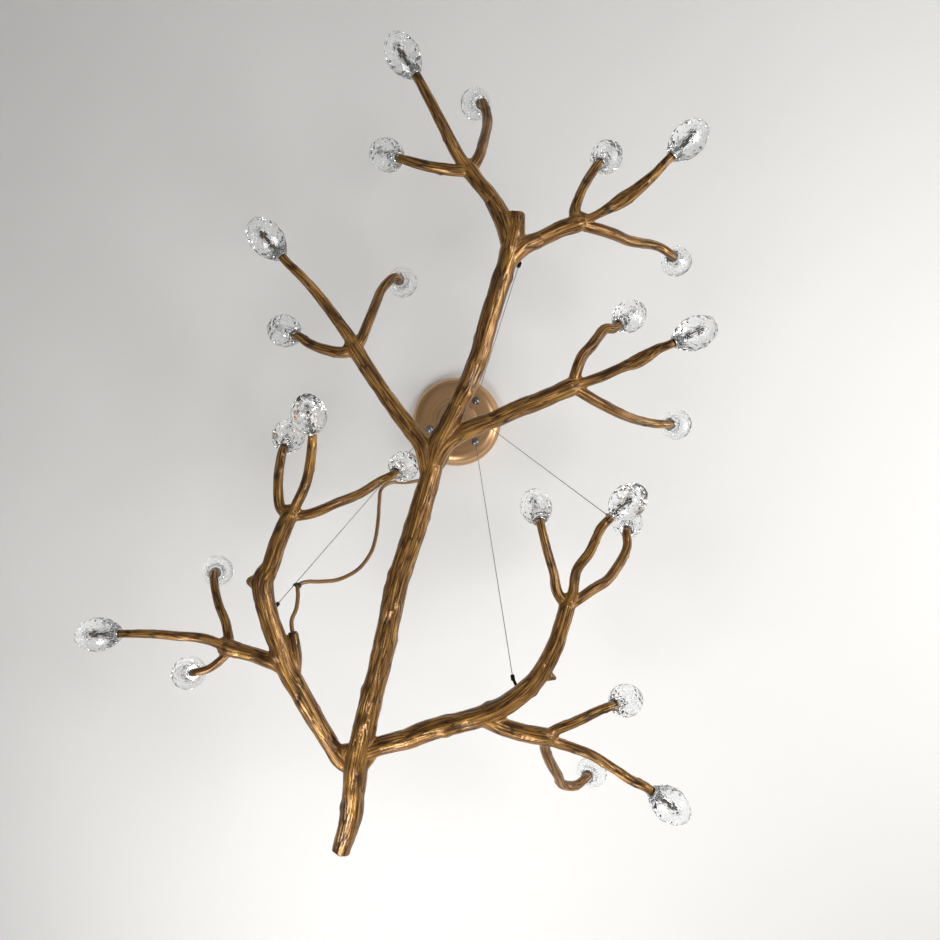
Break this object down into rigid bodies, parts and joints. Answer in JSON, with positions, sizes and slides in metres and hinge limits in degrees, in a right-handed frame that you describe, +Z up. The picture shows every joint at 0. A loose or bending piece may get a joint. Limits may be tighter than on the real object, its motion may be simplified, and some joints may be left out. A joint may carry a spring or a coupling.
{
  "type": "branch chandelier",
  "caption": "Cast branch chandelier hung by wires from a round canopy, with clusters of stems that end in faceted crystal buds over small lamps.",
  "frame": {"origin": "middle of the bracket's ceiling face, on the canopy's axis", "axes": "+Z up into the ceiling, Y along the branches' longest spread, +Y to the trunk's free lower end, X across"},
  "size_m": [1.0242, 1.2948, 0.5806],
  "materials": {
    "bark_casting": "cast bark texture, antique gold-brown lacquer over dark patina",
    "brushed_bronze": "circular brushed, light copper bronze",
    "bronze_screw": "turned bronze",
    "bronze_gland": "turned bronze",
    "chrome_grip": "polished dome",
    "zinc_steel": "zinc plated",
    "terminal_plastic": "moulded nylon",
    "driver_plastic": "moulded, fine grain",
    "silver_collar": "satin silver",
    "ceramic": "unglazed steatite",
    "lamp_glass": "clear capsule over small diodes",
    "black_steel": "blackened",
    "screw_steel": "blued",
    "bush_rubber": "moulded",
    "tie_plastic": "moulded nylon",
    "cord_sheath": "bronze sheath",
    "steel_wire": "stranded",
    "cut_crystal": "cut and polished facets"
  },
  "bodies": {
    "root": {"ceiling_bracket": "zinc_steel", "canopy_screws": "bronze_screw", "canopy": "brushed_bronze", "canopy_hub": "brushed_bronze", "cord_gland": "bronze_gland", "cable_grips": "chrome_grip", "lock_nuts": "zinc_steel", "terminal_block": "terminal_plastic", "lamp_driver": "driver_plastic", "trunk": "bark_casting", "upper_limb": "bark_casting", "lower_left_limb": "bark_casting", "lower_right_limb": "bark_casting", "fork_a": "bark_casting", "fork_b": "bark_casting", "fork_c": "bark_casting", "fork_d": "bark_casting", "fork_e": "bark_casting", "fork_f": "bark_casting", "fork_g": "bark_casting", "fork_h": "bark_casting", "lamp_collars": "silver_collar", "lamp_bases": "ceramic", "capsule_lamps": "lamp_glass", "wire_anchors": "black_steel", "anchor_screws": "screw_steel", "cord_bush": "bush_rubber", "cord_tie": "tie_plastic", "power_cord": "cord_sheath", "wire_1": "steel_wire", "wire_2": "steel_wire", "wire_3": "steel_wire", "wire_4": "steel_wire"},
    "crystal_1_body": {"crystal_1": "cut_crystal"},
    "crystal_2_body": {"crystal_2": "cut_crystal"},
    "crystal_3_body": {"crystal_3": "cut_crystal"},
    "crystal_4_body": {"crystal_4": "cut_crystal"},
    "crystal_5_body": {"crystal_5": "cut_crystal"},
    "crystal_6_body": {"crystal_6": "cut_crystal"},
    "crystal_7_body": {"crystal_7": "cut_crystal"},
    "crystal_8_body": {"crystal_8": "cut_crystal"},
    "crystal_9_body": {"crystal_9": "cut_crystal"},
    "crystal_10_body": {"crystal_10": "cut_crystal"},
    "crystal_11_body": {"crystal_11": "cut_crystal"},
    "crystal_12_body": {"crystal_12": "cut_crystal"},
    "crystal_13_body": {"crystal_13": "cut_crystal"},
    "crystal_14_body": {"crystal_14": "cut_crystal"},
    "crystal_15_body": {"crystal_15": "cut_crystal"},
    "crystal_16_body": {"crystal_16": "cut_crystal"},
    "crystal_17_body": {"crystal_17": "cut_crystal"},
    "crystal_18_body": {"crystal_18": "cut_crystal"},
    "crystal_19_body": {"crystal_19": "cut_crystal"},
    "crystal_20_body": {"crystal_20": "cut_crystal"},
    "crystal_21_body": {"crystal_21": "cut_crystal"},
    "crystal_22_body": {"crystal_22": "cut_crystal"},
    "crystal_23_body": {"crystal_23": "cut_crystal"},
    "crystal_24_body": {"crystal_24": "cut_crystal"}
  },
  "joints": [
    {"name": "crystal_1_slide", "type": "slide", "parent": "root", "child": "crystal_1_body", "axis": [-0.5426, -0.8385, -0.0493], "range_m": [0, 0.05]},
    {"name": "crystal_2_slide", "type": "slide", "parent": "root", "child": "crystal_2_body", "axis": [-0.2516, -0.4528, 0.8554], "range_m": [0, 0.05]},
    {"name": "crystal_3_slide", "type": "slide", "parent": "root", "child": "crystal_3_body", "axis": [-0.6432, -0.4461, 0.6224], "range_m": [0, 0.05]},
    {"name": "crystal_4_slide", "type": "slide", "parent": "root", "child": "crystal_4_body", "axis": [0.4534, -0.6046, 0.6549], "range_m": [0, 0.05]},
    {"name": "crystal_5_slide", "type": "slide", "parent": "root", "child": "crystal_5_body", "axis": [0.7071, -0.7071, 0], "range_m": [0, 0.05]},
    {"name": "crystal_6_slide", "type": "slide", "parent": "root", "child": "crystal_6_body", "axis": [0.4467, -0.0496, 0.8933], "range_m": [0, 0.05]},
    {"name": "crystal_7_slide", "type": "slide", "parent": "root", "child": "crystal_7_body", "axis": [-0.6541, -0.7547, -0.0503], "range_m": [0, 0.05]},
    {"name": "crystal_8_slide", "type": "slide", "parent": "root", "child": "crystal_8_body", "axis": [0.0494, -0.1482, 0.9877], "range_m": [0, 0.05]},
    {"name": "crystal_9_slide", "type": "slide", "parent": "root", "child": "crystal_9_body", "axis": [-0.6712, -0.3356, 0.661], "range_m": [0, 0.05]},
    {"name": "crystal_10_slide", "type": "slide", "parent": "root", "child": "crystal_10_body", "axis": [0.6443, -0.5154, 0.565], "range_m": [0, 0.05]},
    {"name": "crystal_11_slide", "type": "slide", "parent": "root", "child": "crystal_11_body", "axis": [0.9129, -0.4081, 0], "range_m": [0, 0.05]},
    {"name": "crystal_12_slide", "type": "slide", "parent": "root", "child": "crystal_12_body", "axis": [0.5426, -0.0493, 0.8385], "range_m": [0, 0.05]},
    {"name": "crystal_13_slide", "type": "slide", "parent": "root", "child": "crystal_13_body", "axis": [0.0686, -0.6172, -0.7838], "range_m": [0, 0.05]},
    {"name": "crystal_14_slide", "type": "slide", "parent": "root", "child": "crystal_14_body", "axis": [0, -0.6, 0.8], "range_m": [0, 0.05]},
    {"name": "crystal_15_slide", "type": "slide", "parent": "root", "child": "crystal_15_body", "axis": [0.3015, -0.3015, 0.9045], "range_m": [0, 0.05]},
    {"name": "crystal_16_slide", "type": "slide", "parent": "root", "child": "crystal_16_body", "axis": [-0.2542, 0.0508, 0.9658], "range_m": [0, 0.05]},
    {"name": "crystal_17_slide", "type": "slide", "parent": "root", "child": "crystal_17_body", "axis": [-0.9938, 0.0497, 0.0994], "range_m": [0, 0.05]},
    {"name": "crystal_18_slide", "type": "slide", "parent": "root", "child": "crystal_18_body", "axis": [-0.5486, 0.2494, 0.798], "range_m": [0, 0.05]},
    {"name": "crystal_19_slide", "type": "slide", "parent": "root", "child": "crystal_19_body", "axis": [-0.0999, -0.6191, 0.7789], "range_m": [0, 0.05]},
    {"name": "crystal_20_slide", "type": "slide", "parent": "root", "child": "crystal_20_body", "axis": [0.4243, -0.5657, -0.7071], "range_m": [0, 0.05]},
    {"name": "crystal_21_slide", "type": "slide", "parent": "root", "child": "crystal_21_body", "axis": [0.2434, -0.2921, 0.9249], "range_m": [0, 0.05]},
    {"name": "crystal_22_slide", "type": "slide", "parent": "root", "child": "crystal_22_body", "axis": [0.6962, 0.041, 0.7167], "range_m": [0, 0.05]},
    {"name": "crystal_23_slide", "type": "slide", "parent": "root", "child": "crystal_23_body", "axis": [0.3549, 0.2028, 0.9126], "range_m": [0, 0.05]},
    {"name": "crystal_24_slide", "type": "slide", "parent": "root", "child": "crystal_24_body", "axis": [0.799, 0.5993, 0.0499], "range_m": [0, 0.05]}
  ]
}
